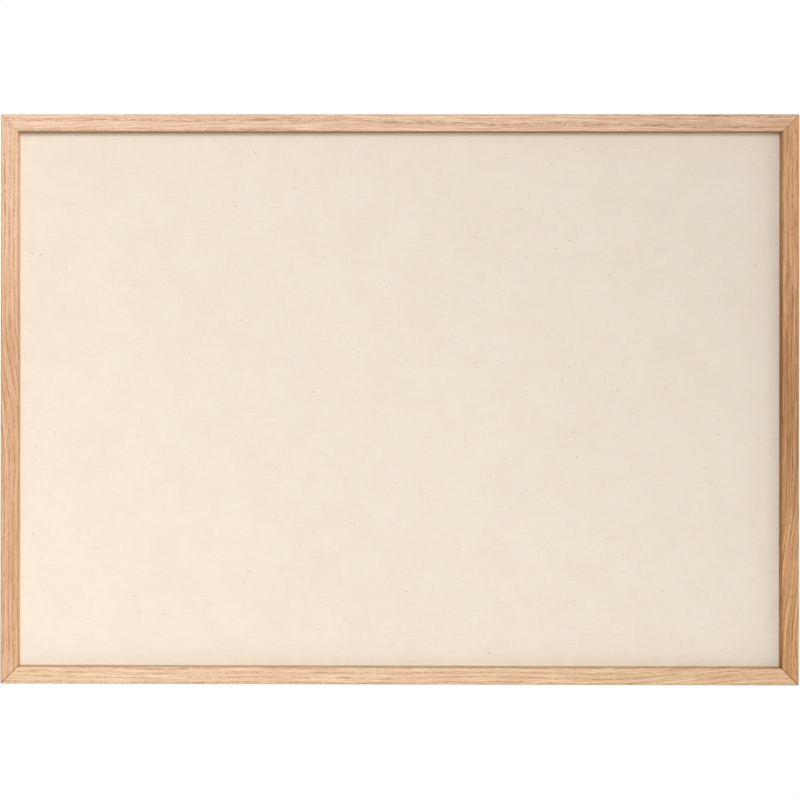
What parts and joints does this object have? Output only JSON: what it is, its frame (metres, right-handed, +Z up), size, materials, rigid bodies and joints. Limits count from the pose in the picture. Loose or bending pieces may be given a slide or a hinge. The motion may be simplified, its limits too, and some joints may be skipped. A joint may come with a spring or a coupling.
{
  "type": "memo board",
  "caption": "Canvas-covered pin board in a slim mitred oak frame, with a softboard core, a hardboard back held by turn buttons and sawtooth hangers for the wall.",
  "frame": {"origin": "on the wall, midway between the two sawtooth hangers, at the height where the wall hooks sit in their teeth", "axes": "+X to the right seen from the front, along the board's width; +Y back into the wall; +Z up"},
  "size_m": [0.7, 0.0256, 0.5],
  "materials": {
    "oak": "pale oak, sanded and clear matt lacquered",
    "canvas": "unbleached cotton canvas, plain weave",
    "softboard": "soft wood-fibre board",
    "hardboard": "brown hardboard, smooth face out",
    "zinc": "zinc-plated steel",
    "rubber": "dark grey rubber"
  },
  "bodies": {
    "frame": {"top_rail": "oak", "right_stile": "oak", "bottom_rail": "oak", "left_stile": "oak", "wedge_nail_top_right": "zinc", "wedge_nail_bottom_right": "zinc", "wedge_nail_bottom_left": "zinc", "wedge_nail_top_left": "zinc", "canvas_cover": "canvas", "softboard_core": "softboard", "back_panel": "hardboard", "staple_top_1": "zinc", "staple_top_2": "zinc", "staple_top_3": "zinc", "staple_top_4": "zinc", "staple_top_5": "zinc", "staple_right_1": "zinc", "staple_right_2": "zinc", "staple_right_3": "zinc", "staple_bottom_1": "zinc", "staple_bottom_2": "zinc", "staple_bottom_3": "zinc", "staple_bottom_4": "zinc", "staple_bottom_5": "zinc", "staple_left_1": "zinc", "staple_left_2": "zinc", "staple_left_3": "zinc", "button_screw_top_left": "zinc", "button_screw_top_middle": "zinc", "button_screw_top_right": "zinc", "button_screw_right_upper": "zinc", "button_screw_right_lower": "zinc", "button_screw_bottom_right": "zinc", "button_screw_bottom_middle": "zinc", "button_screw_bottom_left": "zinc", "button_screw_left_lower": "zinc", "button_screw_left_upper": "zinc", "hanger_left": "zinc", "hanger_left_nail_1": "zinc", "hanger_left_nail_2": "zinc", "hanger_right": "zinc", "hanger_right_nail_1": "zinc", "hanger_right_nail_2": "zinc", "bumper_left": "rubber", "bumper_right": "rubber"},
    "button_top_left": {"turn_button_top_left": "zinc"},
    "button_top_middle": {"turn_button_top_middle": "zinc"},
    "button_top_right": {"turn_button_top_right": "zinc"},
    "button_right_upper": {"turn_button_right_upper": "zinc"},
    "button_right_lower": {"turn_button_right_lower": "zinc"},
    "button_bottom_right": {"turn_button_bottom_right": "zinc"},
    "button_bottom_middle": {"turn_button_bottom_middle": "zinc"},
    "button_bottom_left": {"turn_button_bottom_left": "zinc"},
    "button_left_lower": {"turn_button_left_lower": "zinc"},
    "button_left_upper": {"turn_button_left_upper": "zinc"}
  },
  "joints": [
    {"name": "turn_top_left", "type": "hinge", "parent": "frame", "child": "button_top_left", "pos_m": [-0.24, -0.00245, 0.0024], "axis": [0, 1, 0], "range_deg": [-90, 90]},
    {"name": "turn_top_middle", "type": "hinge", "parent": "frame", "child": "button_top_middle", "pos_m": [0, -0.00245, 0.0024], "axis": [0, 1, 0], "range_deg": [-90, 90]},
    {"name": "turn_top_right", "type": "hinge", "parent": "frame", "child": "button_top_right", "pos_m": [0.24, -0.00245, 0.0024], "axis": [0, 1, 0], "range_deg": [-90, 90]},
    {"name": "turn_right_upper", "type": "hinge", "parent": "frame", "child": "button_right_upper", "pos_m": [0.345, -0.00245, -0.1026], "axis": [0, 1, 0], "range_deg": [-90, 90]},
    {"name": "turn_right_lower", "type": "hinge", "parent": "frame", "child": "button_right_lower", "pos_m": [0.345, -0.00245, -0.3826], "axis": [0, 1, 0], "range_deg": [-90, 90]},
    {"name": "turn_bottom_right", "type": "hinge", "parent": "frame", "child": "button_bottom_right", "pos_m": [0.24, -0.00245, -0.4876], "axis": [0, 1, 0], "range_deg": [-90, 90]},
    {"name": "turn_bottom_middle", "type": "hinge", "parent": "frame", "child": "button_bottom_middle", "pos_m": [0, -0.00245, -0.4876], "axis": [0, 1, 0], "range_deg": [-90, 90]},
    {"name": "turn_bottom_left", "type": "hinge", "parent": "frame", "child": "button_bottom_left", "pos_m": [-0.24, -0.00245, -0.4876], "axis": [0, 1, 0], "range_deg": [-90, 90]},
    {"name": "turn_left_lower", "type": "hinge", "parent": "frame", "child": "button_left_lower", "pos_m": [-0.345, -0.00245, -0.3826], "axis": [0, 1, 0], "range_deg": [-90, 90]},
    {"name": "turn_left_upper", "type": "hinge", "parent": "frame", "child": "button_left_upper", "pos_m": [-0.345, -0.00245, -0.1026], "axis": [0, 1, 0], "range_deg": [-90, 90]}
  ]
}
